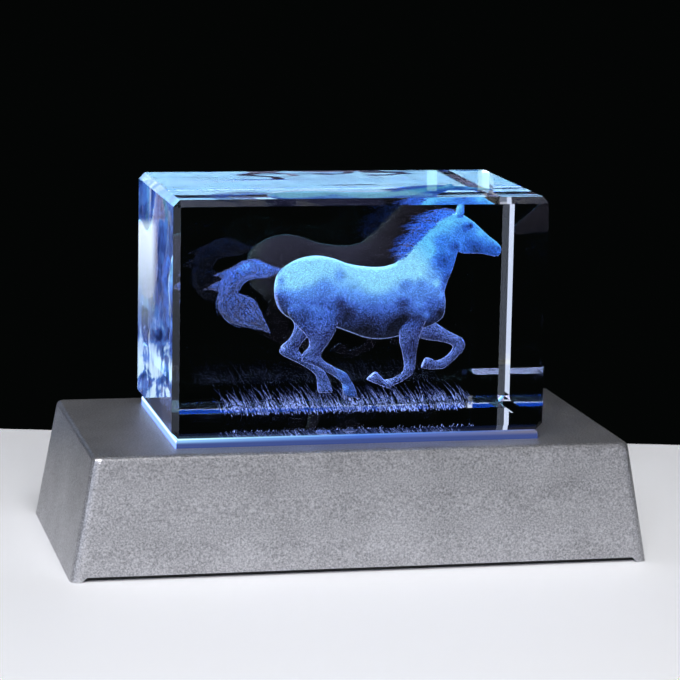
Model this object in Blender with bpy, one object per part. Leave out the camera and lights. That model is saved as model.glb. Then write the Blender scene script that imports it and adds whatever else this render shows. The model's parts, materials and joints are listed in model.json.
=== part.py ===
"""Engraved crystal block on a light base.

A clear glass block with chamfered edges stands on a low moulded base. The base is
a hollow tapered housing, open below, with a raised frosted window in its top that
lights the block from underneath, and a black plate that closes the underside.

Units are metres, +Z is up. The origin is the centre of the base's underside.
X runs along the base, and -Y is the front.
"""

import math

import bmesh
import bpy
from mathutils import Matrix, Vector

# Crystal block
BLOCK_LENGTH = 0.080
BLOCK_DEPTH = 0.050
BLOCK_HEIGHT = 0.050
BLOCK_CHAMFER = 0.00135

# Base housing, from its top face down to the table
END_LEDGE = 0.0175          # top face beyond each end of the block
SIDE_LEDGE = 0.006          # top face in front of the block and behind it
END_FLARE = 0.0045          # how far each end leans out by the foot
SIDE_FLARE = 0.001          # how far the front and the back lean out by the foot
BASE_HEIGHT = 0.026
CORNER_RADIUS = 0.002       # upright corners, in plan
CAVITY_RADIUS = 0.0004      # upright corners of the hollow inside
RIM_RADIUS = 0.0013         # rounded edge of the top face
WALL = 0.0016               # side walls, measured level
TOP_WALL = 0.0022
FOOT_RELIEF = 0.0011        # the long walls stop this far above the table
RELIEF_LAND = 0.0003        # straight wall left between that relief and the hollow's corners

# Frosted window under the block
WINDOW_INSET = 0.001        # inside the block's sides, all round
WINDOW_RISE = 0.0016        # above the base's top face
WINDOW_EDGE_RADIUS = 0.0003
FLANGE_WIDTH = 0.0015       # hidden rim that keeps the window from lifting out
FLANGE_THICKNESS = 0.0015

# Plate that closes the underside
PLATE_THICKNESS = 0.0024
SCREW_RECESS_RADIUS = 0.0026
SCREW_RECESS_DEPTH = 0.0012
SCREW_INSET = 0.008         # recess centres, in from the plate's edges

# Clearances
CLEARANCE = 0.0003          # between a piece and the one it fits in
REST_GAP = 0.0003           # under a piece that rests on another

ROUND_SEGMENTS = 4
RECESS_SIDES = 24
CUT_OVERRUN = 0.004         # how far a cutter runs past the faces it cuts
LEVEL_TOLERANCE = 1e-6      # heights closer than this count as level

# Sizes worked out from the ones above
TOP_LENGTH = BLOCK_LENGTH + 2 * END_LEDGE
TOP_DEPTH = BLOCK_DEPTH + 2 * SIDE_LEDGE
WINDOW_LENGTH = BLOCK_LENGTH - 2 * WINDOW_INSET
WINDOW_DEPTH = BLOCK_DEPTH - 2 * WINDOW_INSET
WINDOW_TOP = BASE_HEIGHT + WINDOW_RISE
BLOCK_BOTTOM = WINDOW_TOP + REST_GAP


def flare(height):
    """How far the housing's ends and sides lean out at a height."""
    drop = (BASE_HEIGHT - height) / BASE_HEIGHT
    return END_FLARE * drop, SIDE_FLARE * drop


def housing_size(height, inset=0.0):
    """Length and depth of the tapered housing at a height, less an inset all round."""
    end, side = flare(height)
    return TOP_LENGTH + 2 * (end - inset), TOP_DEPTH + 2 * (side - inset)


def clear_scene():
    for old in list(bpy.data.objects):
        bpy.data.objects.remove(old, do_unlink=True)


def new_collection(name):
    collection = bpy.data.collections.new(name)
    bpy.context.scene.collection.children.link(collection)
    return collection


def make_material(name, color, roughness, metallic=0.0, transmission=0.0, ior=1.5):
    material = bpy.data.materials.new(name)
    material.use_nodes = True
    shader = material.node_tree.nodes["Principled BSDF"]
    shader.inputs["Base Color"].default_value = (*color, 1.0)
    shader.inputs["Roughness"].default_value = roughness
    shader.inputs["Metallic"].default_value = metallic
    shader.inputs["Transmission Weight"].default_value = transmission
    shader.inputs["IOR"].default_value = ior
    return material


def add_object(name, bm, collection, material=None):
    """Turn a bmesh into a named object with faces pointing out."""
    bmesh.ops.recalc_face_normals(bm, faces=bm.faces)
    mesh = bpy.data.meshes.new(name)
    bm.to_mesh(mesh)
    bm.free()
    obj = bpy.data.objects.new(name, mesh)
    collection.objects.link(obj)
    if material:
        mesh.materials.append(material)
    return obj


def make_box(length, depth, z_low, z_high):
    """A box centred on the Z axis between two heights."""
    bm = bmesh.new()
    bmesh.ops.create_cube(bm, size=1.0)
    size = Vector((length, depth, z_high - z_low))
    bmesh.ops.scale(bm, vec=size, verts=bm.verts)
    bmesh.ops.translate(bm, vec=(0, 0, (z_low + z_high) / 2), verts=bm.verts)
    return bm


def upright_edges(bm):
    return [e for e in bm.edges if abs(e.verts[0].co.z - e.verts[1].co.z) > LEVEL_TOLERANCE]


def round_edges(bm, edges, radius, segments=ROUND_SEGMENTS):
    bmesh.ops.bevel(
        bm, geom=list(edges), offset=radius, offset_type="OFFSET", affect="EDGES",
        segments=segments, profile=0.5, material=-1,
    )


def tapered_block(z_low, z_high, inset=0.0, corner_radius=0.0, rim_radius=0.0):
    """A length of the housing's own tapered form, with rounded corners and rim."""
    bm = make_box(TOP_LENGTH - 2 * inset, TOP_DEPTH - 2 * inset, z_low, z_high)
    if corner_radius > 0:
        round_edges(bm, upright_edges(bm), corner_radius)
    for vert in bm.verts:
        end, side = flare(vert.co.z)
        vert.co.x += math.copysign(end, vert.co.x)
        vert.co.y += math.copysign(side, vert.co.y)
    if rim_radius > 0:
        top = max(v.co.z for v in bm.verts)
        rim = [e for e in bm.edges if all(abs(v.co.z - top) < LEVEL_TOLERANCE for v in e.verts)]
        round_edges(bm, rim, rim_radius)
    return bm


def cut(obj, cutter):
    """Subtract a cutter that stays in the file as a wire guide."""
    cutter.hide_render = True
    cutter.display_type = "WIRE"
    modifier = obj.modifiers.new("cut " + cutter.name, "BOOLEAN")
    modifier.operation = "DIFFERENCE"
    modifier.object = cutter
    return modifier


def smooth_round_parts(obj, angle=30):
    mesh = obj.data
    mesh.shade_smooth()
    mesh.set_sharp_from_angle(angle=math.radians(angle))


def build_crystal_block(parts, glass):
    """The glass block, every edge ground to one flat chamfer."""
    bm = make_box(BLOCK_LENGTH, BLOCK_DEPTH, BLOCK_BOTTOM, BLOCK_BOTTOM + BLOCK_HEIGHT)
    round_edges(bm, bm.edges, BLOCK_CHAMFER, segments=1)
    return add_object("crystal_block", bm, parts, glass)


def build_foot_relief(cutters):
    """A shallow trapezoid, front to back, that lifts the long walls off the table."""
    length, depth = housing_size(0.0)
    low = length - 2 * (WALL + CAVITY_RADIUS + RELIEF_LAND)
    high = low - 2 * FOOT_RELIEF
    bm = make_box(1.0, depth + 2 * CUT_OVERRUN, -FOOT_RELIEF, FOOT_RELIEF)
    for vert in bm.verts:
        half = high / 2 if vert.co.z > 0 else low / 2 + FOOT_RELIEF
        vert.co.x = math.copysign(half, vert.co.x)
    return add_object("foot_relief_cutter", bm, cutters)


def build_base_housing(parts, cutters, silver):
    """The tapered shell: open below, with a window opening in its top wall."""
    outside = tapered_block(
        0.0, BASE_HEIGHT, corner_radius=CORNER_RADIUS, rim_radius=RIM_RADIUS)
    housing = add_object("base_housing", outside, parts, silver)

    cavity = tapered_block(
        -CUT_OVERRUN, BASE_HEIGHT - TOP_WALL, inset=WALL, corner_radius=CAVITY_RADIUS)
    cut(housing, add_object("cavity_cutter", cavity, cutters))

    opening = make_box(
        WINDOW_LENGTH + 2 * CLEARANCE, WINDOW_DEPTH + 2 * CLEARANCE,
        BASE_HEIGHT - TOP_WALL - CUT_OVERRUN, BASE_HEIGHT + CUT_OVERRUN)
    cut(housing, add_object("window_cutter", opening, cutters))

    cut(housing, build_foot_relief(cutters))
    smooth_round_parts(housing)
    return housing


def build_light_window(parts, frosted):
    """A frosted slab through the top wall, with a hidden flange under that wall."""
    flange_top = BASE_HEIGHT - TOP_WALL - REST_GAP
    bm = make_box(
        WINDOW_LENGTH + 2 * FLANGE_WIDTH, WINDOW_DEPTH + 2 * FLANGE_WIDTH,
        flange_top - FLANGE_THICKNESS, flange_top)
    roof = [f for f in bm.faces if f.normal.z > 0.9]
    bmesh.ops.inset_region(
        bm, faces=roof, thickness=FLANGE_WIDTH, depth=0.0, use_even_offset=True)
    raised = bmesh.ops.extrude_face_region(bm, geom=roof)
    verts = [g for g in raised["geom"] if isinstance(g, bmesh.types.BMVert)]
    bmesh.ops.translate(bm, vec=(0, 0, WINDOW_TOP - flange_top), verts=verts)
    bmesh.ops.delete(bm, geom=roof, context="FACES")
    top_edges = [e for e in bm.edges if all(v in verts for v in e.verts)]
    round_edges(bm, top_edges, WINDOW_EDGE_RADIUS, segments=2)
    return add_object("light_window", bm, parts, frosted)


def build_bottom_plate(parts, cutters, black):
    """The black plate inside the housing's foot, with a screw recess at each corner."""
    length, depth = housing_size(PLATE_THICKNESS, WALL + CLEARANCE)
    plate = make_box(length, depth, 0.0, PLATE_THICKNESS)
    round_edges(plate, upright_edges(plate), CAVITY_RADIUS)
    obj = add_object("bottom_plate", plate, parts, black)
    for side_x in (-1, 1):
        for side_y in (-1, 1):
            recess = bmesh.new()
            centre = Matrix.Translation((
                side_x * (length / 2 - SCREW_INSET),
                side_y * (depth / 2 - SCREW_INSET),
                (SCREW_RECESS_DEPTH - CUT_OVERRUN) / 2,
            ))
            bmesh.ops.create_cone(
                recess, cap_ends=True, segments=RECESS_SIDES,
                radius1=SCREW_RECESS_RADIUS, radius2=SCREW_RECESS_RADIUS,
                depth=SCREW_RECESS_DEPTH + CUT_OVERRUN, matrix=centre)
            name = "screw_recess_cutter_%+d%+d" % (side_x, side_y)
            cut(obj, add_object(name, recess, cutters))
    smooth_round_parts(obj)
    return obj


def main():
    clear_scene()
    parts = new_collection("engraved_crystal_block_on_light_base")
    cutters = new_collection("cutters")

    glass = make_material("clear_crystal", (0.93, 0.96, 1.0), 0.0, transmission=1.0, ior=1.52)
    silver = make_material("silver_paint", (0.42, 0.42, 0.45), 0.42, metallic=0.55)
    frosted = make_material("frosted_window", (0.80, 0.88, 0.95), 0.5, transmission=0.3)
    black = make_material("black_plastic", (0.015, 0.015, 0.017), 0.55)

    build_crystal_block(parts, glass)
    build_base_housing(parts, cutters, silver)
    build_light_window(parts, frosted)
    build_bottom_plate(parts, cutters, black)


main()
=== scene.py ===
"""Engraved crystal block on a light base: its finishes, its engraving, its table and lights.

The block is clear glass with a galloping horse and a strip of grass engraved inside it.
It stands on the lit window of a silver base. Lengths are metres, +Z is up, -Y is the front.
"""

import json
import math
import random

import bmesh
import bpy
import numpy as np
from bpy.props import FloatProperty, FloatVectorProperty, PointerProperty
from mathutils import Euler, Matrix, Vector

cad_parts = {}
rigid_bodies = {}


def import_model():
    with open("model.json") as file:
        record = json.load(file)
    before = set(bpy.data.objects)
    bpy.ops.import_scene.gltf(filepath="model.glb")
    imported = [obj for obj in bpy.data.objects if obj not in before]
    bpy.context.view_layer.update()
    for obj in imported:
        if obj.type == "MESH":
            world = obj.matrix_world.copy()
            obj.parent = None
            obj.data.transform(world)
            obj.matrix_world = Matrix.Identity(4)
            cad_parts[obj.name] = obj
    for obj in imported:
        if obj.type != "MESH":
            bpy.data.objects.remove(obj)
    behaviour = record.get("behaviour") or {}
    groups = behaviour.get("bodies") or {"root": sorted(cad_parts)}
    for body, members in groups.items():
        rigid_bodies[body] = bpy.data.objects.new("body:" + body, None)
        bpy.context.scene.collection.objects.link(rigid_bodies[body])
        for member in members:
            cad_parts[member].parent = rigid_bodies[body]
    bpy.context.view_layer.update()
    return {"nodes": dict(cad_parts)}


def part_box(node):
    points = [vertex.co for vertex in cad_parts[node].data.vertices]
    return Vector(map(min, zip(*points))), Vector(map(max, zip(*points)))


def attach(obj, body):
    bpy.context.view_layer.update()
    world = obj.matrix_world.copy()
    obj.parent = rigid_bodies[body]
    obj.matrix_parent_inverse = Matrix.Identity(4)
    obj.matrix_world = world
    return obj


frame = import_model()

bl_info = {
    "name": "Engraved Crystal Block",
    "version": (1, 0, 0),
    "blender": (4, 5, 0),
    "location": "View3D > Sidebar > Crystal",
    "description": "Finishes a glass block with a horse engraved in it, on its light base",
    "category": "Object",
}

BLOCK_LOW, BLOCK_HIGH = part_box("crystal_block")
BASE_LOW, BASE_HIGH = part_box("base_housing")
WINDOW_LOW, WINDOW_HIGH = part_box("light_window")
MM = 0.001
BLACK = (0.0, 0.0, 0.0)


def color_property(name, description, default):
    return FloatVectorProperty(
        name=name, description=description, subtype="COLOR", size=3,
        min=0.0, max=1.0, default=default)


def length_property(name, description, default):
    return FloatProperty(
        name=name, description=description, subtype="DISTANCE", unit="LENGTH",
        min=0.0, default=default)


class Socket:
    """A shader socket that takes part in Python sums, each one adding a Math node."""

    def __init__(self, shader, socket):
        self.shader = shader
        self.socket = socket

    def math(self, operation, *values):
        return self.shader.node("ShaderNodeMath", {"operation": operation}, *values)

    def __add__(self, other):
        return self.math("ADD", self, other)

    def __radd__(self, other):
        return self.math("ADD", other, self)

    def __sub__(self, other):
        return self.math("SUBTRACT", self, other)

    def __rsub__(self, other):
        return self.math("SUBTRACT", other, self)

    def __mul__(self, other):
        return self.math("MULTIPLY", self, other)

    def __rmul__(self, other):
        return self.math("MULTIPLY", other, self)

    def __truediv__(self, other):
        return self.math("DIVIDE", self, other)

    def __abs__(self):
        return self.math("ABSOLUTE", self)

    def smooth_step(self, low, high):
        """0 below low, 1 above high, with a soft S between them."""
        settings = {"interpolation_type": "SMOOTHSTEP"}
        return self.shader.node("ShaderNodeMapRange", settings, self, low, high, 0.0, 1.0)

    def band(self, low, high, soft):
        """1 between low and high, 0 outside them, soft by this much on both sides of each."""
        return self.smooth_step(low - soft, low + soft) * (
            1 - self.smooth_step(high - soft, high + soft))

    def output(self, name):
        """Another output of the same node."""
        return Socket(self.shader, self.socket.node.outputs[name])


class NodeTree:
    """A node tree: one method adds any node and feeds it."""

    def __init__(self, tree):
        self.tree = tree

    def node(self, kind, settings, *values, **named):
        """Add a node, set it up, feed its inputs in order or by name, return its first output."""
        node = self.tree.nodes.new(kind)
        for key, value in settings.items():
            if key == "stops":
                self.set_ramp(node.color_ramp, value)
            else:
                setattr(node, key, value)
        enabled = [s for s in node.inputs if s.enabled]
        for socket, value in zip(enabled, values):
            self.feed(socket, value)
        for key, value in named.items():
            self.feed(node.inputs[key.replace("_", " ")], value)
        outputs = [s for s in node.outputs if s.enabled]
        return Socket(self, outputs[0]) if outputs else None

    def set_ramp(self, ramp, stops):
        for index, (place, color) in enumerate(stops):
            if index < 2:
                stop = ramp.elements[index]
                stop.position = place
            else:
                stop = ramp.elements.new(place)
            stop.color = (*color, 1.0)

    def feed(self, socket, value):
        if isinstance(value, Socket):
            self.tree.links.new(value.socket, socket)
        else:
            if socket.type == "RGBA" and len(value) == 3:
                value = (*value, 1.0)
            socket.default_value = value


class Shader(NodeTree):
    """A material's node tree, with shorthands for the nodes that the finishes use."""

    def __init__(self, name):
        self.material = bpy.data.materials.new(name)
        self.material.use_nodes = True
        super().__init__(self.material.node_tree)
        self.surface = self.tree.nodes["Principled BSDF"]

    def set(self, **values):
        """Set or link the surface shader's own sockets."""
        for key, value in values.items():
            self.feed(self.surface.inputs[key.replace("_", " ")], value)

    def place(self):
        return self.node("ShaderNodeTexCoord", {}).output("Object")

    def split(self, vector):
        parts = self.node("ShaderNodeSeparateXYZ", {}, vector)
        return [parts.output(axis) for axis in "XYZ"]

    def stored(self, name):
        """A value that the mesh holds for each of its points."""
        return self.node("ShaderNodeAttribute", {"attribute_name": name}).output("Fac")

    def noise(self, place, scale, detail=2.0, roughness=0.5, distortion=0.0):
        return self.node(
            "ShaderNodeTexNoise", {}, Vector=place, Scale=scale, Detail=detail,
            Roughness=roughness, Distortion=distortion)

    def stretch(self, vector, factors):
        return self.node("ShaderNodeVectorMath", {"operation": "MULTIPLY"}, vector, factors)

    def mix(self, factor, first, second, blend="MIX"):
        return self.node(
            "ShaderNodeMix", {"data_type": "RGBA", "blend_type": blend}, factor, first, second)

    def ramp(self, factor, *stops):
        return self.node("ShaderNodeValToRGB", {"stops": stops}, factor)

    def bump(self, height, strength, distance):
        return self.node(
            "ShaderNodeBump", {}, Strength=strength, Distance=distance, Height=height)

    def glowing(self, base, color, strength, **more):
        """The material, its surface made dull and given a painted glow, which stands in for the
        window's light that the engraving scatters; it is not sampled as a lamp.
        """
        self.set(
            Base_Color=base, Roughness=1.0, Specular_IOR_Level=0.0, Emission_Color=color,
            Emission_Strength=strength, **more)
        self.material.cycles.emission_sampling = "NONE"
        return self.material


def dress(node_name, material):
    """Give a solid of the frame its finish."""
    materials = frame["nodes"][node_name].data.materials
    materials.clear()
    materials.append(material)


# The horse is carved in millimetres: X from the block's middle, Z up from its underside.
# Each section has two opposite points of its outline, (x, z) each, and half its depth.
TRUNK = (
    ((-15.6, 30.0), (-15.6, 27.4), 1.2), ((-14.8, 32.3), (-14.9, 25.0), 2.9),
    ((-12.8, 34.0), (-13.2, 23.0), 3.9), ((-10.0, 35.3), (-10.4, 21.8), 4.5),
    ((-6.6, 35.8), (-6.6, 21.2), 4.7), ((-3.2, 35.2), (-3.0, 20.6), 4.5),
    ((0.2, 34.0), (0.4, 19.4), 4.5), ((4.0, 33.3), (4.2, 18.0), 4.9),
    ((7.8, 33.2), (8.2, 17.6), 5.0), ((11.0, 34.0), (12.0, 18.3), 4.8),
    ((13.6, 34.6), (15.2, 19.2), 4.3), ((17.0, 33.6), (18.4, 20.2), 3.7),
    ((19.8, 30.8), (20.6, 21.4), 2.8), ((21.3, 28.0), (21.5, 22.6), 1.8),
    ((21.7, 25.8), (21.7, 24.2), 0.6),
)
NECK = (
    ((8.6, 32.2), (20.2, 25.0), 3.4), ((10.6, 33.9), (21.4, 27.4), 3.0),
    ((12.6, 35.7), (22.1, 29.6), 2.55), ((14.6, 37.6), (23.0, 31.9), 2.2),
    ((16.6, 39.8), (23.7, 34.0), 1.95), ((18.8, 41.9), (24.2, 36.0), 1.8),
    ((21.2, 43.7), (24.9, 37.6), 1.7), ((23.4, 44.6), (25.6, 39.4), 1.5),
)
HEAD = (
    ((23.2, 44.3), (23.6, 39.2), 1.0), ((24.2, 44.7), (24.2, 36.8), 1.5),
    ((25.4, 44.2), (25.2, 36.0), 1.8), ((26.8, 43.3), (26.6, 35.9), 1.85),
    ((28.3, 42.2), (28.2, 35.9), 1.65), ((29.8, 40.8), (29.6, 35.8), 1.25),
    ((31.2, 39.6), (31.0, 35.5), 1.0), ((32.5, 38.6), (32.3, 35.2), 1.0),
    ((33.4, 37.8), (33.3, 35.3), 1.0), ((33.9, 37.1), (33.8, 35.8), 0.7),
)
EAR = (
    ((23.7, 44.2), (25.2, 44.0), 0.45), ((23.8, 45.2), (25.4, 45.0), 0.55),
    ((24.2, 46.4), (25.3, 46.4), 0.4), ((24.9, 47.6), (25.0, 47.6), 0.08),
)
NEAR_HIND_LEG = (
    ((-4.6, 27.0), (-12.8, 28.4), 0.9), ((-2.7, 23.6), (-13.0, 23.8), 1.75),
    ((-2.3, 21.2), (-10.9, 21.0), 1.7), ((-2.9, 19.4), (-9.3, 19.3), 1.5),
    ((-4.0, 17.5), (-8.3, 17.5), 1.25), ((-5.2, 15.9), (-8.6, 16.2), 1.0),
    ((-5.8, 14.8), (-9.8, 15.0), 0.9), ((-5.5, 14.0), (-9.6, 13.4), 0.85),
    ((-4.9, 13.2), (-6.8, 12.3), 0.8), ((-4.0, 12.65), (-4.9, 11.2), 0.72),
    ((-2.5, 11.85), (-3.3, 10.35), 0.68), ((-1.2, 11.15), (-2.2, 9.6), 0.75),
    ((0.0, 10.5), (-1.4, 8.9), 0.85), ((0.8, 9.2), (-0.95, 8.1), 0.7),
    ((1.5, 8.0), (-0.9, 7.3), 0.75), ((2.0, 6.9), (-0.75, 6.5), 0.95),
    ((2.5, 5.3), (-0.4, 5.3), 1.1),
)
FAR_HIND_LEG = (
    ((-4.6, 26.0), (-12.4, 27.0), 0.9), ((-3.4, 22.8), (-12.2, 23.2), 1.7),
    ((-4.6, 20.6), (-10.9, 20.8), 1.65), ((-7.0, 18.9), (-11.2, 18.9), 1.4),
    ((-8.75, 17.3), (-12.1, 17.4), 1.1), ((-9.7, 15.9), (-13.5, 16.3), 0.9),
    ((-9.9, 15.1), (-14.05, 15.2), 0.85), ((-9.3, 14.4), (-13.6, 14.2), 0.82),
    ((-8.5, 13.6), (-10.2, 12.5), 0.76), ((-7.2, 12.8), (-8.2, 11.35), 0.7),
    ((-5.8, 11.95), (-6.9, 10.4), 0.72), ((-4.4, 10.8), (-5.9, 9.4), 0.82),
    ((-3.6, 9.5), (-5.75, 8.6), 0.7), ((-2.95, 8.2), (-5.7, 7.7), 0.76),
    ((-2.6, 7.1), (-5.6, 6.9), 0.95), ((-2.2, 5.8), (-5.4, 5.8), 1.1),
)
NEAR_FORELEG = (
    ((18.4, 26.0), (12.6, 26.4), 0.8), ((17.9, 23.4), (11.8, 23.4), 1.3),
    ((16.9, 21.0), (11.3, 20.6), 1.35), ((16.1, 18.8), (11.4, 18.4), 1.2),
    ((15.6, 16.7), (11.6, 16.6), 1.0), ((15.25, 14.4), (12.2, 14.5), 0.85),
    ((15.1, 12.6), (12.55, 12.8), 0.8), ((15.0, 11.3), (12.6, 11.5), 0.85),
    ((14.5, 10.2), (12.2, 10.4), 0.8), ((12.9, 8.9), (11.4, 9.9), 0.72),
    ((11.2, 8.05), (10.3, 9.3), 0.65), ((10.0, 7.5), (9.3, 9.05), 0.7),
    ((9.0, 7.1), (8.3, 8.9), 0.8), ((7.6, 7.7), (7.7, 9.5), 0.68),
    ((6.2, 8.3), (7.2, 10.1), 0.78), ((4.3, 9.1), (6.35, 10.8), 1.0),
)
FAR_FORELEG = (
    ((18.6, 25.0), (14.0, 25.4), 0.6), ((19.4, 22.8), (14.4, 21.6), 1.1),
    ((20.0, 20.9), (15.8, 18.0), 1.35), ((21.3, 19.8), (18.4, 16.95), 1.15),
    ((22.8, 18.9), (20.8, 16.6), 0.95), ((24.5, 17.95), (23.0, 16.1), 0.85),
    ((26.0, 17.2), (24.1, 15.5), 0.88), ((26.85, 16.0), (24.2, 15.1), 0.86),
    ((26.6, 14.5), (24.0, 14.7), 0.82), ((25.4, 13.3), (23.6, 14.1), 0.74),
    ((24.2, 12.1), (22.8, 13.3), 0.66), ((23.2, 11.2), (21.9, 12.7), 0.68),
    ((22.2, 10.5), (21.1, 12.4), 0.8), ((20.8, 10.45), (20.2, 12.3), 0.68),
    ((19.4, 10.4), (19.3, 12.8), 0.78), ((17.2, 10.8), (18.1, 13.0), 1.0),
)
TAIL = (
    ((-13.6, 33.3), (-14.4, 31.6), 0.8), ((-15.8, 33.7), (-15.8, 31.6), 0.95),
    ((-17.8, 34.5), (-17.4, 31.1), 1.3), ((-20.0, 35.3), (-19.6, 31.0), 1.6),
    ((-22.6, 34.8), (-21.4, 30.7), 1.8), ((-24.8, 33.5), (-22.7, 29.8), 1.9),
    ((-26.6, 31.6), (-23.3, 28.8), 1.9), ((-27.5, 29.0), (-23.5, 28.1), 1.9),
    ((-27.9, 26.6), (-22.4, 27.5), 1.9), ((-27.8, 24.4), (-20.6, 27.0), 1.8),
    ((-26.4, 22.4), (-19.5, 26.0), 1.6), ((-24.0, 21.1), (-18.8, 24.6), 1.3),
    ((-21.4, 20.5), (-18.1, 23.0), 1.0), ((-19.0, 20.0), (-17.5, 21.6), 0.6),
    ((-16.5, 19.2), (-16.4, 19.3), 0.08),
)
TAIL_TUFTS = (
    (
        ((-23.4, 34.4), (-23.6, 31.0), 1.3), ((-26.0, 33.2), (-25.8, 30.8), 1.0),
        ((-27.8, 32.5), (-27.4, 31.4), 0.5), ((-29.0, 31.9), (-28.9, 31.8), 0.06),
    ),
    (
        ((-25.0, 31.6), (-25.2, 28.0), 1.3), ((-27.6, 30.8), (-27.4, 28.2), 0.9),
        ((-29.6, 29.8), (-29.4, 28.7), 0.45), ((-31.4, 28.8), (-31.3, 28.7), 0.05),
    ),
)
HIND_LEGS = ((NEAR_HIND_LEG, -2.9), (FAR_HIND_LEG, 2.9))
FORELEGS = ((NEAR_FORELEG, -2.6), (FAR_FORELEG, 2.4))
FORELEG_FADE = (20.6, 23.6)     # the forelegs' own skin thins out inside the chest
EAR_SPREAD = 0.95

# Soft painted highlights and painted shade that shape the muscles, and dark marks for the eye and
# the nostril: (x, z), radius, change of glow.
BODY_SPOTS = (
    ((-9.5, 33.3), 5.0, 0.15), ((-14.7, 30.8), 1.5, -0.2), ((-11.9, 30.5), 2.6, 0.2),
    ((-2.0, 32.0), 2.2, -0.18), ((-5.6, 29.4), 3.4, -0.12), ((-2.0, 26.2), 2.2, -0.3),
    ((-0.2, 24.0), 3.2, -0.3), ((4.0, 21.6), 4.4, -0.16), ((10.4, 21.4), 3.6, -0.2),
    ((5.9, 30.4), 4.8, 0.22), ((-10.0, 23.8), 3.0, -0.2), ((-5.6, 21.2), 2.4, 0.1),
    ((11.8, 33.1), 3.4, 0.15), ((12.4, 29.6), 2.2, -0.2), ((15.8, 29.4), 2.0, -0.15),
    ((11.6, 25.6), 2.2, -0.3), ((12.2, 22.6), 2.4, -0.2), ((15.4, 25.0), 2.4, 0.2),
    ((19.6, 29.8), 1.6, 0.25), ((22.2, 30.8), 2.4, -0.3), ((17.1, 22.9), 1.6, 0.4),
    ((20.4, 23.4), 1.6, -0.2), ((20.4, 27.0), 1.2, 0.2), ((-15.0, 26.6), 3.2, -0.35),
    ((-13.0, 23.4), 2.6, -0.25),
)
HEAD_SPOTS = (
    ((14.9, 33.6), 3.2, 0.25), ((17.2, 37.0), 2.6, 0.3), ((22.2, 43.0), 1.8, 0.1),
    ((20.7, 34.4), 3.4, -0.4), ((23.2, 37.4), 1.8, -0.3), ((25.1, 40.3), 1.9, -0.1),
    ((26.9, 42.0), 0.8, -0.7), ((25.8, 41.7), 1.5, -0.4), ((29.0, 40.4), 1.6, 0.2),
    ((31.8, 36.7), 2.6, -0.35), ((33.2, 37.0), 0.6, -0.4), ((28.4, 36.9), 2.4, -0.3),
    ((26.4, 38.4), 2.2, -0.15), ((20.4, 38.6), 3.0, -0.22), ((27.0, 40.0), 7.0, -0.12),
)
LEG_SPOTS = (
    ((13.8, 15.4), 3.0, -0.25), ((-13.6, 16.0), 1.4, 0.25), ((-1.9, 9.8), 1.5, 0.15),
    ((-0.6, 7.6), 1.2, 0.35), ((0.0, 5.6), 1.2, -0.1), ((-6.4, 6.0), 1.6, -0.1),
    ((5.0, 9.6), 1.8, 0.3), ((9.4, 8.2), 1.6, 0.2),
)
SPOTS = BODY_SPOTS + HEAD_SPOTS + LEG_SPOTS
# The tail's painted highlights and painted shade, in the same columns.
TAIL_SPOTS = (
    ((-22.4, 34.2), 3.0, 0.3), ((-18.4, 33.6), 2.4, 0.2), ((-25.4, 30.6), 2.4, 0.1),
    ((-25.4, 26.4), 2.4, 0.1), ((-21.8, 23.4), 2.4, 0.12), ((-30.6, 29.4), 2.2, -0.2),
    ((-28.6, 31.6), 1.6, -0.2), ((-19.0, 20.8), 2.6, -0.1), ((-26.6, 22.6), 1.8, -0.2),
)

# Roots of the mane along the crest of the neck, and the tips that they flow to.
MANE_ROOTS = [Vector(place) for place in (
    (23.6, 44.7), (21.0, 43.4), (18.6, 41.4), (16.4, 39.2), (14.6, 37.2), (13.0, 35.6))]
MANE_TIPS = [Vector(place) for place in (
    (17.2, 45.0), (14.0, 43.7), (11.4, 41.6), (10.6, 39.0), (8.6, 37.4), (9.6, 34.4))]

RINGS_EACH = 5                  # rings of points from one section to the next
HAIR_TIP = 0.012                # radius, in millimetres


def between(values, share):
    """A smooth value at a share of the way along a row of vectors."""
    last = len(values) - 1
    place = min(max(share, 0.0), 1.0) * last
    index = min(int(place), last - 1)
    part = place - index
    before, here, there, after = (
        values[min(max(index + step, 0), last)] for step in (-1, 0, 1, 2))
    return 0.5 * (
        2 * here + (there - before) * part
        + (2 * before - 5 * here + 4 * there - after) * part ** 2
        + (3 * here - before - 3 * there + after) * part ** 3)


def shares(count):
    """Even shares of a length, from 0 to 1."""
    return [index / (count - 1) for index in range(count)]


def rise(low, high, value):
    """0 below low, 1 above high, with a soft S between them."""
    share = min(max((value - low) / (high - low), 0.0), 1.0)
    return share * share * (3 - 2 * share)


def rows_of(sections):
    return [Vector((*one, *other, half)) for one, other, half in sections]


def on_section(section, across, side, depth=0.0):
    """A point of an oval section, where across and side are the cosine and sine of its angle."""
    top_x, top_z, low_x, low_z, half = section
    return Vector((
        (top_x + low_x) / 2 + across * (top_x - low_x) / 2,
        depth + side * half,
        (top_z + low_z) / 2 + across * (top_z - low_z) / 2,
    ))


def carve(bm, sections, depth=0.0, sides=24):
    """Add a rounded form that runs smoothly through a row of sections."""
    rows = rows_of(sections)
    rings = (len(rows) - 1) * RINGS_EACH
    last = []
    for index in range(rings + 1):
        section = between(rows, index / rings)
        ring = bmesh.ops.create_circle(
            bm, cap_ends=index in (0, rings), segments=sides, radius=1.0)["verts"]
        for vert in ring:
            vert.co = on_section(section, vert.co.x, vert.co.y, depth)
        edges = list({e for v in ring for e in v.link_edges})
        if last:
            bmesh.ops.bridge_loops(bm, edges=last + edges)
        last = edges


def add_to_scene(name, data):
    obj = bpy.data.objects.new(name, data)
    bpy.context.scene.collection.objects.link(obj)
    return obj


def to_object(name, bm):
    mesh = bpy.data.meshes.new(name)
    bm.to_mesh(mesh)
    bm.free()
    return add_to_scene(name, mesh)


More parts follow.
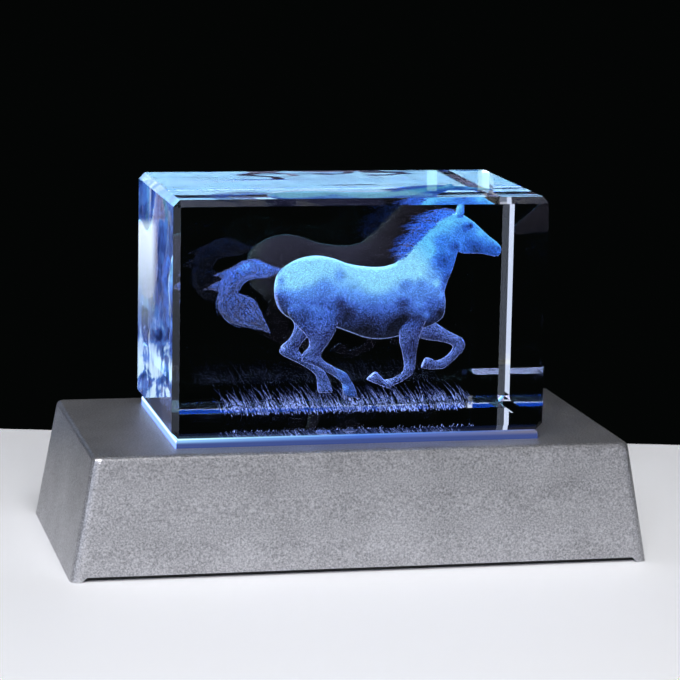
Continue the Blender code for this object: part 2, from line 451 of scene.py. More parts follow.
def finished_mesh(obj):
    """The object's mesh with its modifiers applied. The object itself is removed."""
    graph = bpy.context.evaluated_depsgraph_get()
    mesh = bpy.data.meshes.new_from_object(
        obj.evaluated_get(graph), preserve_all_data_layers=True, depsgraph=graph)
    bpy.data.batch_remove((obj, obj.data))
    return mesh


def melt_together(name, bm, voxel, smoothing):
    """One closed skin over all the forms in a bmesh."""
    bmesh.ops.recalc_face_normals(bm, faces=bm.faces)
    obj = to_object(name, bm)
    remesh = obj.modifiers.new("one skin", "REMESH")
    remesh.mode = "VOXEL"
    remesh.voxel_size = voxel
    smooth = obj.modifiers.new("smooth", "SMOOTH")
    smooth.factor = 0.5
    smooth.iterations = smoothing
    return finished_mesh(obj)


def hair(curve, path, thickness):
    """Add a thin tapering strand through a row of places."""
    spline = curve.splines.new("POLY")
    spline.points.add(len(path) - 1)
    for point, place, share in zip(spline.points, path, shares(len(path))):
        point.co = (*place, 1.0)
        point.radius = thickness * (1 - share) ** 0.6 + HAIR_TIP


def hair_curve(name):
    """A curve in which one millimetre of radius is one millimetre of strand."""
    curve = bpy.data.curves.new(name, "CURVE")
    curve.dimensions = "3D"
    curve.bevel_depth = 1.0
    curve.bevel_resolution = 0
    curve.use_fill_caps = True
    return curve


def hair_mesh(curve):
    """The strands as one mesh, their caps joined to their sides."""
    mesh = finished_mesh(add_to_scene(curve.name, curve))
    bm = bmesh.new()
    bm.from_mesh(mesh)
    bmesh.ops.remove_doubles(bm, verts=bm.verts, dist=1e-4)
    bmesh.ops.recalc_face_normals(bm, faces=bm.faces)
    bm.to_mesh(mesh)
    bm.free()
    return mesh


class DotScatter(NodeTree):
    """Geometry nodes that turn a surface into a cloud of tiny four-faced marks."""

    def __init__(self, name, size, seed):
        super().__init__(bpy.data.node_groups.new(name, "GeometryNodeTree"))
        for way in ("INPUT", "OUTPUT"):
            self.tree.interface.new_socket(
                "Geometry", in_out=way, socket_type="NodeSocketGeometry")
        surface = self.node("NodeGroupInput", {})
        density = self.node("GeometryNodeInputNamedAttribute", {}, Name="dots")
        points = self.node(
            "GeometryNodeDistributePointsOnFaces", {}, Mesh=surface, Density=density, Seed=seed)
        mark = self.node(
            "GeometryNodeMeshCone", {"fill_type": "NGON"}, Vertices=3, Radius_Top=0.0,
            Radius_Bottom=size, Depth=size * 1.2)
        turn = self.node(
            "FunctionNodeRandomValue", {"data_type": "FLOAT_VECTOR"},
            (0.0, 0.0, 0.0), (math.tau, math.tau, math.tau), Seed=seed)
        scale = self.node(
            "FunctionNodeRandomValue", {"data_type": "FLOAT"}, 0.7, 1.3, Seed=seed + 1)
        marks = self.node(
            "GeometryNodeInstanceOnPoints", {}, Points=points, Instance=mark, Rotation=turn,
            Scale=scale)
        real = self.node("GeometryNodeRealizeInstances", {}, marks)
        self.node("NodeGroupOutput", {}, real)


DOT_SIZE = 0.06                 # the radius of a dot's foot, in millimetres
MOST_DOTS = 30.0                # for each square millimetre of skin
LEAST_DOTS = 18.0
DOT_CORNERS = 12                # four faces of three corners each
UV_CELLS = 256                  # each dot has its own cell of this many squared


def seal_in_glass(name, mesh, material):
    """Place a mesh of millimetres inside the block, as a piece."""
    mesh.name = name
    mesh.transform(Matrix.Translation((0, 0, BLOCK_LOW.z)) @ Matrix.Scale(MM, 4))
    mesh.materials.clear()
    mesh.materials.append(material)
    piece = add_to_scene(name, mesh)
    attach(piece, "root")


def lay_out_cells(mesh):
    """A UV map in which every dot has one small cell of its own."""
    corner = np.arange(len(mesh.loops))
    cell = corner // DOT_CORNERS
    across = np.array((0.2, 0.8, 0.5))[corner % 3]
    up = np.array((0.2, 0.2, 0.8))[corner % 3]
    places = np.column_stack((cell % UV_CELLS + across, cell // UV_CELLS + up)) / UV_CELLS
    mesh.uv_layers.new(name="OFBake").data.foreach_set("uv", places.ravel())


def engrave(name, surface, material, low_x, high_x, seed):
    """Make one piece of dots over the part of a surface between two X places."""
    bm = bmesh.new()
    bm.from_mesh(surface)
    for place, side in ((low_x, -1), (high_x, 1)):
        bmesh.ops.bisect_plane(
            bm, geom=bm.verts[:] + bm.edges[:] + bm.faces[:], dist=1e-6,
            plane_co=(place, 0, 0), plane_no=(side, 0, 0), clear_outer=True)
    obj = to_object(name, bm)
    scatter = obj.modifiers.new("dots", "NODES")
    scatter.node_group = DotScatter(name + " dots", DOT_SIZE, seed).tree
    dots = finished_mesh(obj)
    lay_out_cells(dots)
    seal_in_glass(name, dots, material)


class CrystalFinishes(bpy.types.PropertyGroup):
    glass_index: FloatProperty(
        name="Glass index", description="Refractive index of the crystal",
        default=1.52, min=1.0, max=2.0)
    glass_color: color_property(
        "Glass colour", "Tint of the crystal", (0.985, 0.995, 1.0))
    silver_color: color_property(
        "Silver colour", "Paint of the base", (0.435, 0.435, 0.455))
    silver_roughness: FloatProperty(
        name="Silver roughness", description="Gloss of the base's paint",
        default=0.42, min=0.0, max=1.0)
    plate_color: color_property(
        "Plate colour", "Plastic of the plate under the base", (0.012, 0.012, 0.014))
    light_color: color_property(
        "Light colour", "The bluest light from the window", (0.008, 0.09, 0.8))
    light_strength: FloatProperty(
        name="Light strength", description="Brightness of the lit window",
        default=12.0, min=0.0)


class StageSettings(bpy.types.PropertyGroup):
    table_color: color_property("Table colour", "The pale table top", (0.80, 0.81, 0.83))
    table_back: length_property(
        "Table to its back edge", "From the object's centre to the far edge", 0.1044)
    table_front: length_property(
        "Table to its front edge", "From the object's centre to the near edge", 0.155)
    table_left: length_property(
        "Table to its left end", "From the object's centre to the left end", 0.14)
    table_right: length_property(
        "Table to its right end", "From the object's centre to the right end", 0.16)
    table_turn: FloatProperty(
        name="Table turn", description="How the table is turned under the object",
        subtype="ANGLE", default=math.radians(-13.96))
    lens: FloatProperty(name="Lens", description="Focal length in mm", default=153.09)


class CRYSTAL_OT_glass(bpy.types.Operator):
    """Give the block its clear glass"""
    bl_idname = "crystal.glass"
    bl_label = "Glass block"

    def execute(self, context):
        finish = context.scene.crystal_finishes
        shader = Shader("clear crystal")
        shader.set(
            Base_Color=finish.glass_color, Roughness=0.0, IOR=finish.glass_index,
            Transmission_Weight=1.0)
        dress("crystal_block", shader.material)
        return {"FINISHED"}


MARKS = ("glow", "far", "leg", "rim", "crest", "turned")
HEAD_START = (48 * MM, 56 * MM)     # the head's tint comes in between these X plus height
FAR_NECK = (6 * MM, 22 * MM)        # the far side turns from lilac to grey between these X


def engraving_colors(shader, loose=False):
    """Colours of the painted glow: cyan on what faces up, blue on the sides, lilac on the legs,
    paler on the far side.

    Loose is the hair of the mane and the tail.
    """
    glow, far, leg, rim, crest, turned = (shader.stored(name) for name in MARKS)
    x, _, z = shader.split(shader.place())
    body = shader.ramp(
        glow, (0.0, (0.008, 0.011, 0.028)), (0.2, (0.030, 0.050, 0.18)),
        (0.5, (0.065, 0.155, 0.62)), (0.75, (0.12, 0.32, 0.92)), (1.0, (0.26, 0.68, 1.0)))
    head = (x + z - BLOCK_LOW.z).smooth_step(*HEAD_START)
    body = shader.mix(head, body, (0.48, 0.79, 0.98), "MULTIPLY")
    legs = shader.ramp(
        glow, (0.0, (0.010, 0.013, 0.036)), (0.4, (0.036, 0.056, 0.20)),
        (0.7, (0.08, 0.14, 0.44)), (1.0, (0.26, 0.40, 0.90)))
    # The outline (rim) leans towards pale lilac: a painted rim highlight.
    near = shader.mix(rim * 0.3, shader.mix(leg, body, legs), (0.30, 0.38, 0.66))
    # What faces straight up (crest) turns cyan-white: a painted highlight.
    near = shader.mix(crest * 0.8, near, (0.42, 1.1, 1.6))
    if loose:
        near = shader.mix(1.0, near, (0.72, 0.95, 1.15), "MULTIPLY")
        back = (0.09, 0.10, 0.17)
    else:
        back = shader.mix(x.smooth_step(*FAR_NECK), (0.62, 0.64, 1.08), (0.36, 0.34, 0.50))
        back = shader.mix(turned, back, (0.85, 1.15, 1.35))
        back = shader.mix(leg, back, (0.10, 0.095, 0.18))
        # The far side darkens where its glow is low: painted shade.
        back = shader.mix(0.45 - 0.45 * glow, back, BLACK)
    return glow, leg, shader.mix(far, near, back)


def dot_material(name, loose=False):
    """Fine fractures, each far brighter than the haze between them."""
    shader = Shader(name)
    glow, leg, color = engraving_colors(shader, loose)
    share = 0.6 - 0.33 * glow + leg * 0.4
    color = shader.mix(share, BLACK, color)
    return shader.glowing(shader.mix(0.5, color, BLACK), color, 11.0)


def haze_material(name, thinnest, thickest, loose=False):
    """The milky skin of fractures too small to see one by one."""
    shader = Shader(name)
    glow, leg, color = engraving_colors(shader, loose)
    alpha = (thinnest + glow * (thickest - thinnest)) * shader.stored("cover")
    if loose:
        wisps = shader.noise(shader.place(), 2600.0, 1.0).smooth_step(0.35, 0.65)
        alpha = alpha * (1 - 0.85 * wisps)
    color = shader.mix((0.3 + 0.5 * glow) * (1 - 0.42 * leg), BLACK, color)
    return shader.glowing(BLACK, color, 1.0, Alpha=alpha)


# The painted light on the engraving falls from this way; no lamp stands there.
LIGHT_WAY = Vector((-0.4, -0.3, 0.87)).normalized()
BODY_HEIGHTS = (19.5, 33.0)     # painted light: the body brightens between these
LEG_TOPS = (19.0, 24.0)         # and takes over from the legs between these
HIND_LEG_ENDS = (-3.2, -0.6)    # the hind legs end, and the belly begins, between these X
MANE_ENDS = (9.0, 20.0)         # the mane brightens towards the head between these X
TAIL_TOP = (27.0, 34.0)         # painted light: the tail brightens between these heights


def shade_skin(mesh, spots, kind):
    """Store how brightly each place glows, as painted light and shade, and how many dots it gets.

    The kind is "body" for the skin with the hind legs, "forelegs" or "hair".
    """
    rows = []
    for vert in mesh.vertices:
        x, z = vert.co.x, vert.co.z
        # Painted light: what faces LIGHT_WAY is lit, what faces away is shaded.
        lit = rise(-0.6, 0.85, vert.normal.dot(LIGHT_WAY))
        # Painted highlights: along the outline, where the skin is seen edge on, and on what faces
        # straight up.
        edge_on = 1 - rise(0.2, 0.45, abs(vert.normal.y))
        crest = rise(0.78, 0.98, vert.normal.z)
        far = rise(0.0, 0.5, vert.normal.y)
        turned = rise(0.25, 0.65, -vert.normal.x)
        if kind == "hair":
            leg_share = 0.0
            mane = rise(*MANE_ENDS, x)
            # Painted light: the hair is brighter where lit and at the top of the tail; the mane
            # brightens towards the head.
            bright = 0.03 + 0.28 * lit + 0.25 * mane + 0.2 * rise(*TAIL_TOP, z) * (1 - mane)
            edge_on = crest = 0.0
        else:
            leg_share = 1 - rise(*LEG_TOPS, z)
            if kind == "body":
                leg_share *= 1 - rise(*HIND_LEG_ENDS, x)
            # Painted light: the body is brighter where lit and higher up, the legs where lit.
            body = 0.5 * lit + 0.5 * rise(*BODY_HEIGHTS, z)
            bright = body + (0.12 + 0.6 * lit - body) * leg_share
        # Painted highlights and painted shade from the spots, and the dark eye and nostril.
        for (spot_x, spot_z), radius, change in spots:
            away = math.hypot(x - spot_x, z - spot_z) / radius
            bright += change * (1 - rise(0.0, 1.0, away))
        # The painted highlight along the outline.
        bright += 0.15 * edge_on
        rim = edge_on * (1 - rise(0.1, 0.6, vert.normal.z))
        share = 1.0
        if kind == "forelegs":
            share = 1 - rise(*FORELEG_FADE, z)
        elif kind == "hair":
            share = 0.12 + 0.88 * rise(0.1, 0.85, abs(vert.normal.y))
        bright = min(max(bright, 0.0), 1.0)
        dots = share * (LEAST_DOTS + (MOST_DOTS - LEAST_DOTS) * bright)
        crest *= 1 - leg_share
        rows.append((bright * share, far, leg_share, rim, crest, turned, share, dots))
    for name, values in zip((*MARKS, "cover", "dots"), zip(*rows)):
        mesh.attributes.new(name, "FLOAT", "POINT").data.foreach_set("value", values)


class CRYSTAL_OT_horse(bpy.types.Operator):
    """Engrave the galloping horse, its mane and its tail"""
    bl_idname = "crystal.horse"
    bl_label = "Engraved horse"

    MANE_TUFTS = 15
    MANE_HAIRS = 150
    TAIL_HAIRS = 90
    MANE_SEED, MANE_HAIR_SEED, TAIL_HAIR_SEED = 5, 6, 7

    def execute(self, context):
        dots = dot_material("engraved dots")
        loose_dots = dot_material("engraved loose dots", loose=True)
        haze = haze_material("engraved haze", thinnest=0.985, thickest=1.0)
        loose_haze = haze_material(
            "engraved loose haze", thinnest=0.4, thickest=0.95, loose=True)
        leg_haze = haze_material("engraved leg haze", thinnest=0.85, thickest=1.0)
        self.add_skin("horse_skin", self.skin(), SPOTS, "body", haze, dots, (
            ("horse_hindquarters", -16.5, -3.0, 0), ("horse_barrel", -3.0, 10.0, 1),
            ("horse_forehand", 10.0, 34.5, 2)))
        self.add_skin("foreleg_skin", self.forelegs(), SPOTS, "forelegs", leg_haze, dots, (
            ("horse_forelegs", 3.0, 28.0, 10),))
        self.add_skin("tail_skin", self.tail(), TAIL_SPOTS, "hair", loose_haze, loose_dots, (
            ("horse_tail", -32.0, -13.0, 11),))
        self.add_skin("mane_skin", self.mane(), (), "hair", loose_haze, loose_dots, (
            ("horse_mane", 8.0, 25.0, 12),))
        hairs = hair_curve("hairs")
        self.mane_hairs(hairs)
        self.tail_hairs(hairs)
        seal_in_glass("mane_and_tail_hairs", hair_mesh(hairs), self.hair_material())
        return {"FINISHED"}

    def add_skin(self, name, mesh, spots, kind, haze, dots, pieces):
        """Seal a skin in the glass, with its pieces of dots: name, two X places and seed."""
        shade_skin(mesh, spots, kind)
        for piece_name, low_x, high_x, seed in pieces:
            engrave(piece_name, mesh, dots, low_x, high_x, seed)
        seal_in_glass(name, mesh, haze)

    def hair_material(self):
        shader = Shader("engraved hair")
        place = shader.place()
        x, _, z = shader.split(place)
        broken = shader.noise(place, 3200.0, 1.0).smooth_step(0.38, 0.62)
        tail = (0.09, 0.16, 0.55)
        mane = shader.ramp(
            (x - z * 0.4 + BLOCK_LOW.z * 0.4 + 6 * MM) / (14 * MM), (0.0, (0.02, 0.05, 0.28)),
            (0.5, (0.05, 0.17, 0.85)), (1.0, (0.09, 0.34, 1.1)))
        bright = shader.mix(x.smooth_step(-4 * MM, 4 * MM), tail, mane)
        color = shader.mix(broken, (0.004, 0.006, 0.03), bright)
        return shader.glowing(shader.mix(0.9, color, BLACK), color, 1.6)

    def skin(self):
        bm = bmesh.new()
        carve(bm, TRUNK, sides=40)
        carve(bm, NECK, sides=32)
        carve(bm, HEAD, sides=32)
        for side in (-1, 1):
            carve(bm, EAR, depth=side * EAR_SPREAD, sides=12)
        for sections, depth in HIND_LEGS:
            carve(bm, sections, depth=depth)
        return melt_together("horse skin", bm, voxel=0.22, smoothing=5)

    def forelegs(self):
        bm = bmesh.new()
        for sections, depth in FORELEGS:
            carve(bm, sections, depth=depth)
        return melt_together("horse forelegs", bm, voxel=0.2, smoothing=3)

    def tail(self):
        bm = bmesh.new()
        carve(bm, TAIL)
        for tuft in TAIL_TUFTS:
            carve(bm, tuft)
        return melt_together("horse tail", bm, voxel=0.22, smoothing=3)

    def mane(self):
        chance = random.Random(self.MANE_SEED)
        bm = bmesh.new()
        for share in shares(self.MANE_TUFTS):
            root = between(MANE_ROOTS, share)
            tip = root + (between(MANE_TIPS, share) - root) * chance.uniform(0.6, 0.85)
            middle = root.lerp(tip, 0.55) + Vector((0.0, chance.uniform(0.1, 0.5)))
            thick = chance.uniform(0.55, 0.8)
            depth = chance.uniform(-0.7, 0.7)
            sections = [
                ((root.x, root.y + thick), (root.x, root.y - thick), 0.5),
                ((middle.x, middle.y + thick * 0.8), (middle.x, middle.y - thick * 0.8), 0.4),
                ((tip.x, tip.y + 0.05), (tip.x, tip.y - 0.05), 0.06),
            ]
            carve(bm, sections, depth=depth, sides=8)
        return melt_together("horse mane", bm, voxel=0.18, smoothing=2)

    def mane_hairs(self, hairs):
        chance = random.Random(self.MANE_HAIR_SEED)
        for _ in range(self.MANE_HAIRS):
            share = chance.random()
            root = between(MANE_ROOTS, share)
            reach = between(MANE_TIPS, share) - root
            reach = reach * chance.uniform(0.55, 1.06) + Vector(
                (chance.uniform(-0.5, 0.5), chance.uniform(-0.9, 0.5)))
            depth = chance.uniform(-1.2, 1.2)
            end_depth = depth + chance.uniform(-1.0, 1.0)
            lift = chance.uniform(0.1, 0.8)
            path = []
            for part in shares(6):
                place = root + reach * part + Vector((0.0, lift * math.sin(math.pi * part)))
                path.append(Vector((place.x, depth + (end_depth - depth) * part, place.y)))
            hair(hairs, path, chance.uniform(0.05, 0.11))

    def tail_hairs(self, hairs):
        rows = rows_of(TAIL)
        chance = random.Random(self.TAIL_HAIR_SEED)
        for _ in range(self.TAIL_HAIRS):
            start = chance.uniform(0.05, 0.8)
            length = chance.uniform(0.12, 0.3)
            around = chance.uniform(0, math.tau)
            swell = chance.uniform(0.9, 1.15)
            path = []
            for part in shares(7):
                across = math.cos(around) * (0.9 + (swell - 0.9) * part)
                section = between(rows, start + length * part)
                path.append(on_section(section, across, math.sin(around)))
            hair(hairs, path, chance.uniform(0.03, 0.07))


class CRYSTAL_OT_grass(bpy.types.Operator):
    """Engrave the strip of grass under the horse's hooves"""
    bl_idname = "crystal.grass"
    bl_label = "Engraved grass"

    GROUND = 2.4                # the blades' roots, in millimetres above the block's underside
    FRONT_ROW = (-6.0, -26.5, 23.5)     # depth, left end and right end
    BACK_ROW = (5.0, -31.5, 31.0)
    BLADES = 900
    SEED = 8
    THIN_END = 8.0              # the grass grows thin this far from its left end
    TALLEST = 5.2
    LEAN = -0.5                 # how far a blade's tip hangs back for each millimetre of height
    # The base's light line shows through the blades between two heights, which rise with X and
    # sink with Y.
    CLEAR_BAND = (2.575 * MM, 3.225 * MM)
    CLEAR_SOFT = 0.125 * MM
    CLEAR_TILT = (0.028, -0.1)

    def execute(self, context):
        chance = random.Random(self.SEED)
        blades = hair_curve("grass")
        for _ in range(self.BLADES):
            depth, left, right = Vector(self.FRONT_ROW).lerp(self.BACK_ROW, chance.random())
            place_x = chance.uniform(left, right)
            if chance.random() > rise(0.0, self.THIN_END, place_x - left):
                continue
            root = Vector((place_x, depth, self.GROUND + chance.uniform(-0.4, 0.3)))
            height = 0.5 + self.TALLEST * chance.random() ** 1.9
            lean = self.LEAN * chance.uniform(0.5, 1.6)
            sway = chance.uniform(-0.15, 0.15)
            path = [
                root + Vector((lean * height * part ** 1.4, sway * height * part, height * part))
                for part in shares(4)]
            hair(blades, path, chance.uniform(0.03, 0.06))
        seal_in_glass("engraved_grass", hair_mesh(blades), self.material())
        return {"FINISHED"}

    def material(self):
        shader = Shader("engraved grass")
        place = shader.place()
        x, y, z = shader.split(place)
        broken = shader.noise(place, 2600.0, 1.0).smooth_step(0.44, 0.6)
        tuft = shader.noise(place, 260.0, 1.0).smooth_step(0.3, 0.7)
        # The blades' painted glow is brightest at their roots and dims towards their tips.
        tip = (z - BLOCK_LOW.z).smooth_step((self.GROUND + 1.0) * MM, (self.GROUND + 4.5) * MM)
        bright = shader.mix(tip, (0.33, 0.46, 1.05), (0.11, 0.15, 0.42))
        color = shader.mix(broken * (0.25 + tuft * 0.75), (0.006, 0.009, 0.04), bright)
        level = z - BLOCK_LOW.z - x * self.CLEAR_TILT[0] - y * self.CLEAR_TILT[1]
        clear = level.band(*self.CLEAR_BAND, self.CLEAR_SOFT)
        return shader.glowing(
            shader.mix(0.9, color, BLACK), color, 2.0, Alpha=1 - 0.85 * clear)


class CRYSTAL_OT_base(bpy.types.Operator):
    """Give the base its sandy silver paint, its lit window and its black plate"""
    bl_idname = "crystal.base"
    bl_label = "Light base"

    BLUE_STRIPE = (11.8 * MM, 12.72 * MM)       # its edges, behind the window's middle
    PALE_LINE = (12.72 * MM, 13.05 * MM)
    LINE_SOFT = 0.04 * MM
    FRONT_EDGE = (20.8 * MM, 22.0 * MM)         # its colours come in here, in front of it

    def execute(self, context):
        finish = context.scene.crystal_finishes
        dress("base_housing", self.silver(finish))
        dress("light_window", self.window(finish))
        dress("bottom_plate", self.plate(finish))
        return {"FINISHED"}

    def silver(self, finish):
        shader = Shader("sandy silver paint")
        place = shader.place()
        grain = shader.noise(place, 2500.0, 3.0, 0.7)
        cloud = shader.noise(place, 90.0, 2.0)
        color = shader.ramp(
            grain * 0.85 + cloud * 0.15,
            (0.34, [c * 0.55 for c in finish.silver_color]),
            (0.66, [min(c * 1.55, 1.0) for c in finish.silver_color]))
        shader.set(
            Base_Color=color, Metallic=0.88,
            Roughness=finish.silver_roughness - 0.1 + grain * 0.2,
            Normal=shader.bump(grain, 0.7, 0.00008))
        return shader.material

    def window(self, finish):
        shader = Shader("lit frosted window")
        place = shader.place()
        x, y, z = shader.split(place)
        normal = shader.node("ShaderNodeNewGeometry", {}).output("Normal")
        side_x, _, side_z = shader.split(normal)
        streaks = shader.noise(shader.stretch(place, (0.12, 1.0, 1.0)), 700.0, 2.0)
        dashes = shader.noise(shader.stretch(place, (0.1, 1.0, 1.0)), 420.0, 0.0)
        cyan = shader.mix(streaks.smooth_step(0.35, 0.65), (0.075, 0.17, 0.27), (0.11, 0.2, 0.28))
        cyan = shader.mix(dashes.smooth_step(0.30, 0.33), (0.002, 0.006, 0.03), cyan)
        front = (0 - y).smooth_step(*self.FRONT_EDGE)
        along = (x - WINDOW_LOW.x) / (WINDOW_HIGH.x - WINDOW_LOW.x)
        # Painted light along the window's front: its top strip glows brightest at the left and
        # fades to grey at the right.
        edge = shader.ramp(
            along, (0.02, (0.06, 0.1, 0.11)), (0.18, (0.031, 0.061, 0.083)),
            (0.5, (0.008, 0.021, 0.066)), (0.8, (0.005, 0.009, 0.034)),
            (1.0, (0.014, 0.014, 0.026)))
        top = shader.mix(y.band(*self.BLUE_STRIPE, self.LINE_SOFT), cyan, finish.light_color)
        top = shader.mix(y.band(*self.PALE_LINE, self.LINE_SOFT), top, (0.9, 1.2, 2.0))
        top = shader.mix(front, top, edge)
        level = z.smooth_step(BASE_HIGH.z + 0.7 * MM, WINDOW_HIGH.z - 0.1 * MM)
        lit_end = shader.mix(level, (0.03, 0.05, 0.13), (0.1, 0.13, 0.15))
        # Painted light on the window's front side, likewise brightest at the left and fading to
        # the right.
        lit_front = shader.mix(level, (0.002, 0.004, 0.018), shader.ramp(
            along, (0.0, (0.025, 0.05, 0.085)), (0.2, (0.014, 0.030, 0.065)),
            (0.5, (0.0035, 0.011, 0.05)), (0.95, (0.012, 0.012, 0.019))))
        side = shader.mix((0 - side_x).smooth_step(0.4, 0.6), lit_front, lit_end)
        color = shader.mix(side_z.smooth_step(0.9, 0.98), side, top)
        shader.set(
            Base_Color=(0.02, 0.025, 0.035), Roughness=0.5, Specular_IOR_Level=0.2,
            Emission_Color=color, Emission_Strength=finish.light_strength)
        return shader.material

    def plate(self, finish):
        shader = Shader("black moulded plastic")
        grain = shader.noise(shader.place(), 900.0, 3.0)
        shader.set(
            Base_Color=finish.plate_color, Roughness=0.45 + grain * 0.2,
            Normal=shader.bump(grain, 0.3, 0.00005))
        return shader.material


class CRYSTAL_OT_stage(bpy.types.Operator):
    """Set up the table, the lights and the camera"""
    bl_idname = "crystal.stage"
    bl_label = "Table, lights and camera"

    CAMERA_PLACE = (-0.13493, -0.60402, 0.15429)
    CAMERA_TURN = (1.3941, -0.01875, -0.21766)
    TABLE_THICKNESS = 0.03
    LIT_CENTRE = (0.0, 0.0, 0.04)       # the lights face this place
    ROOM_COLOR = (0.0012, 0.0016, 0.0015)
    WHITE = (1.0, 1.0, 1.0)
    ALL_RAYS = ("diffuse", "glossy", "transmission")
    # Each light: its way from the place it faces, distance, size, brightness, colour and the
    # kinds of ray that meet it.
    LIGHTS = (
        ("soft box in front", (-0.28, -0.85, 0.45), 1.2, (0.4, 0.2), 24.0, (0.95, 0.96, 1.04),
         ("diffuse", "glossy")),
        ("blue soft box in front", (-0.28, -0.85, 0.45), 1.25, (0.416, 0.208), 24.0,
         (0.5, 0.62, 1.1), ("transmission",)),
        ("small box overhead", (0.18, -0.27, 0.95), 1.0, (0.15, 0.11), 0.85, WHITE,
         ("transmission",)),
        ("main soft box at the left", (-0.54, -0.45, 0.71), 1.1, (0.5, 0.5), 14.0, WHITE,
         ("glossy", "transmission")),
        ("soft box over the table", (-0.05, -0.62, 0.78), 1.2, (0.6, 0.6), 13.7, WHITE,
         ("diffuse",)),
        ("pale card behind", (-0.125, 0.98, 0.155), 2.5, (0.2, 0.16), 2.0, (0.45, 0.8, 1.3),
         ALL_RAYS),
    )
    # Plain cards: their places, lengths and heights, and brightness as a colour.
    CARDS = (
        ("low card at the left", (-0.28, -0.11, 0.05), 0.15, 0.34, (0.66, 0.75, 0.96)),
        ("low card at the right", (0.313, -0.239, -0.02), 0.10, 0.09, (0.5, 0.62, 0.8)),
        ("light tube behind", (0.2265, 0.8, 0.173), 0.005, 0.02, (0.17, 0.36, 0.16)),
        ("bright light tube behind", (0.2535, 0.8, 0.173), 0.006, 0.02, (0.3, 0.45, 0.2)),
    )
    RIPPLED_CARD = ((-0.081, 0.25, 0.013), 0.022, 0.094)
    # A painted shadow on the table behind the base: a dark card, its place and size.
    DARK_CARD_PLACE = (-0.005, 0.110, 0.0006)
    DARK_CARD_SIZE = (0.082, 0.022)
    DARK_CARD_FADE = (-0.022, 0.012)    # the painted shadow grows darker between these X

    def execute(self, context):
        stage = context.scene.crystal_stage
        self.table(stage)
        self.camera(stage)
        self.lights()
        self.cards()
        self.room()
        return {"FINISHED"}

    def table(self, stage):
        """The slab is made too deep, then cut along its far edge, which is turned."""
        bm = bmesh.new()
        bmesh.ops.create_cube(bm, size=1.0)
        depth = stage.table_front + stage.table_right
        bmesh.ops.scale(
            bm, vec=(stage.table_left + stage.table_right, depth, self.TABLE_THICKNESS),
            verts=bm.verts)
        middle = Vector((
            (stage.table_right - stage.table_left) / 2, depth / 2 - stage.table_front,
            -self.TABLE_THICKNESS / 2))
        bmesh.ops.translate(bm, vec=middle, verts=bm.verts)
        back = Matrix.Rotation(stage.table_turn, 3, "Z") @ Vector((0, 1, 0))
        cut = bmesh.ops.bisect_plane(
            bm, geom=bm.verts[:] + bm.edges[:] + bm.faces[:], clear_outer=True,
            plane_co=back * stage.table_back, plane_no=back)["geom_cut"]
        edges = [e for e in cut if isinstance(e, bmesh.types.BMEdge)]
        bmesh.ops.contextual_create(bm, geom=edges)
        shader = Shader("pale table")
        speck = shader.noise(shader.place(), 900.0, 2.0)
        color = shader.mix(
            speck, [c * 0.97 for c in stage.table_color], stage.table_color)
        shader.set(Base_Color=color, Roughness=0.55)
        table = to_object("table", bm)
        table.data.materials.append(shader.material)

    def camera(self, stage):
        data = bpy.data.cameras.new("camera")
        data.sensor_width = 36.0
        data.lens = stage.lens
        data.clip_start = 0.01
        camera = add_to_scene("camera", data)
        camera.location = self.CAMERA_PLACE
        camera.rotation_euler = Euler(self.CAMERA_TURN)
        bpy.context.scene.camera = camera

    def card(self, name, size, middle, material):
        """A flat rectangle, out of the camera's own sight."""
        bm = bmesh.new()
        bmesh.ops.create_grid(bm, x_segments=1, y_segments=1, size=0.5)
        bmesh.ops.scale(bm, vec=(*size, 1.0), verts=bm.verts)
        bmesh.ops.translate(bm, vec=middle, verts=bm.verts)
        card = to_object(name, bm)
        card.data.materials.append(material)
        card.visible_camera = False
        return card

    def standing_card(self, name, place, length, height, material):
        """A light card that stands facing the object."""
        card = self.card(name, (length, height), (0.0, 0.0, 0.0), material)
        card.location = place
        facing = Vector((-place[0], -place[1], 0.0))
        card.rotation_euler = facing.to_track_quat("Z", "Y").to_euler()

    def cards(self):
        for name, place, length, height, color in self.CARDS:
            shader = Shader(name)
            shader.set(Base_Color=BLACK, Emission_Color=color, Emission_Strength=1.0)
            self.standing_card(name, place, length, height, shader.material)
        self.standing_card("rippled card", *self.RIPPLED_CARD, self.rippled())
        self.dark_card()

    def dark_card(self):
        """A dark card lying on the table, hidden behind the base: a painted shadow on the table
        there, which darkens the block's rim.
        """
        shader = Shader("dark card")
        x, _, _ = shader.split(shader.place())
        color = shader.mix(
            x.smooth_step(*self.DARK_CARD_FADE), (0.038, 0.048, 0.09), (0.008, 0.010, 0.028))
        shader.set(Base_Color=color, Roughness=1.0, Specular_IOR_Level=0.0)
        card = self.card(
            "dark card", self.DARK_CARD_SIZE, self.DARK_CARD_PLACE, shader.material)

    def rippled(self):
        """Pale streaks over deep blue, as the block's left face mirrors them."""
        shader = Shader("rippled light")
        place = shader.place()
        across, up, _ = shader.split(place)
        streaks = shader.noise(shader.stretch(place, (1.0, 0.12, 1.0)), 900.0, 2.0)
        waves = shader.noise(
            shader.stretch(place, (1.0, 0.4, 1.0)), 260.0, 2.0, distortion=1.2)
        # The streaks are stronger low down, and most so in a pool 19 mm below the middle.
        low = 1 - up.smooth_step(-0.03, 0.0)
        pool = 1 - abs(up + 0.019).smooth_step(0.002, 0.007)
        bright = (streaks * 0.4 + waves * 0.7 + pool * 0.12).smooth_step(0.40, 0.70)
        color = shader.ramp(
            bright * (0.55 + 0.45 * low), (0.0, (0.01, 0.03, 0.16)), (0.3, (0.06, 0.14, 0.6)),
            (0.6, (0.12, 0.34, 1.1)), (0.9, (1.3, 1.8, 2.3)))
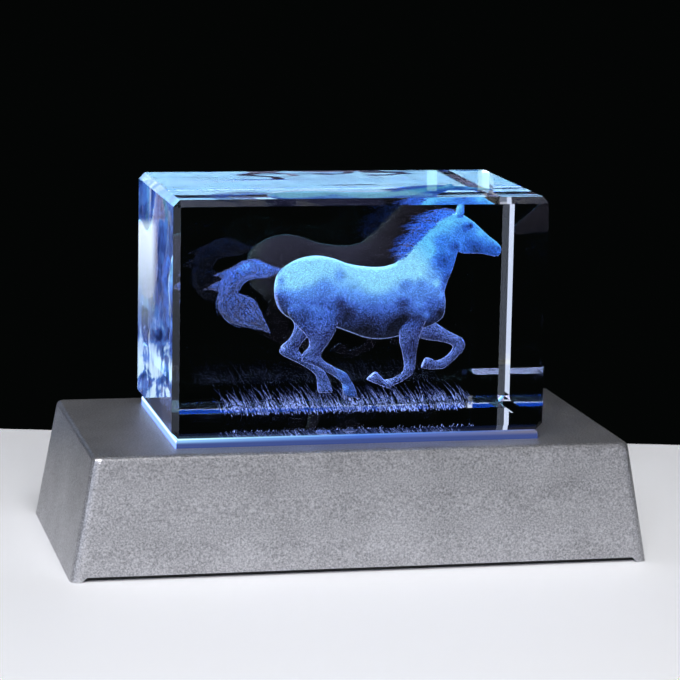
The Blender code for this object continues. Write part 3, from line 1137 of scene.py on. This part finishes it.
        # One side is pale up to 22 mm above the middle, and paler the higher it is.
        pale = (
            across.smooth_step(0.0008, 0.0030) * (1 - up.smooth_step(0.0205, 0.0235))
            * up.smooth_step(-0.016, 0.016))
        color = shader.mix(pale, color, (1.05, 1.35, 1.45))
        shader.set(Base_Color=BLACK, Emission_Color=color, Emission_Strength=1.0)
        return shader.material

    def lights(self):
        centre = Vector(self.LIT_CENTRE)
        for name, way, distance, size, brightness, color, rays in self.LIGHTS:
            data = bpy.data.lights.new(name, "AREA")
            data.shape = "RECTANGLE"
            data.size, data.size_y = size
            data.energy = brightness * math.pi * size[0] * size[1]
            data.color = color
            light = add_to_scene(name, data)
            place = centre + Vector(way).normalized() * distance
            light.location = place
            light.rotation_euler = (centre - place).to_track_quat("-Z", "Y").to_euler()
            light.visible_camera = False
            for kind in self.ALL_RAYS:
                setattr(light, "visible_" + kind, kind in rays)

    def room(self):
        world = bpy.data.worlds.new("dark room")
        world.use_nodes = True
        background = world.node_tree.nodes["Background"]
        background.inputs["Color"].default_value = (*self.ROOM_COLOR, 1.0)
        scene = bpy.context.scene
        scene.world = world
        scene.view_settings.view_transform = "Standard"
        scene.cycles.denoising_prefilter = "ACCURATE"
        scene.cycles.denoising_input_passes = "RGB_ALBEDO"
        scene.cycles.max_bounces = 16
        scene.cycles.transmission_bounces = 16
        scene.cycles.glossy_bounces = 12
        scene.cycles.diffuse_bounces = 3
        scene.cycles.transparent_max_bounces = 24


class CRYSTAL_PT_panel(bpy.types.Panel):
    """Lists the steps that finish the block and its base"""
    bl_idname = "CRYSTAL_PT_panel"
    bl_label = "Engraved crystal block"
    bl_space_type = "VIEW_3D"
    bl_region_type = "UI"
    bl_category = "Crystal"

    def draw(self, context):
        for operator in OPERATORS:
            self.layout.operator(operator.bl_idname)
        for settings in (context.scene.crystal_finishes, context.scene.crystal_stage):
            for key in settings.bl_rna.properties.keys():
                if key not in {"rna_type", "name"}:
                    self.layout.prop(settings, key)


OPERATORS = (
    CRYSTAL_OT_stage, CRYSTAL_OT_glass, CRYSTAL_OT_horse, CRYSTAL_OT_grass, CRYSTAL_OT_base,
)
SETTINGS = (CrystalFinishes, StageSettings)


def register():
    for item in SETTINGS + OPERATORS + (CRYSTAL_PT_panel,):
        bpy.utils.register_class(item)
    bpy.types.Scene.crystal_finishes = PointerProperty(type=CrystalFinishes)
    bpy.types.Scene.crystal_stage = PointerProperty(type=StageSettings)


def unregister():
    del bpy.types.Scene.crystal_stage
    del bpy.types.Scene.crystal_finishes
    for item in reversed(SETTINGS + OPERATORS + (CRYSTAL_PT_panel,)):
        bpy.utils.unregister_class(item)


def main():
    register()
    bpy.ops.crystal.stage()
    bpy.ops.crystal.glass()
    bpy.ops.crystal.horse()
    bpy.ops.crystal.grass()
    bpy.ops.crystal.base()


if __name__ == "__main__":
    main()
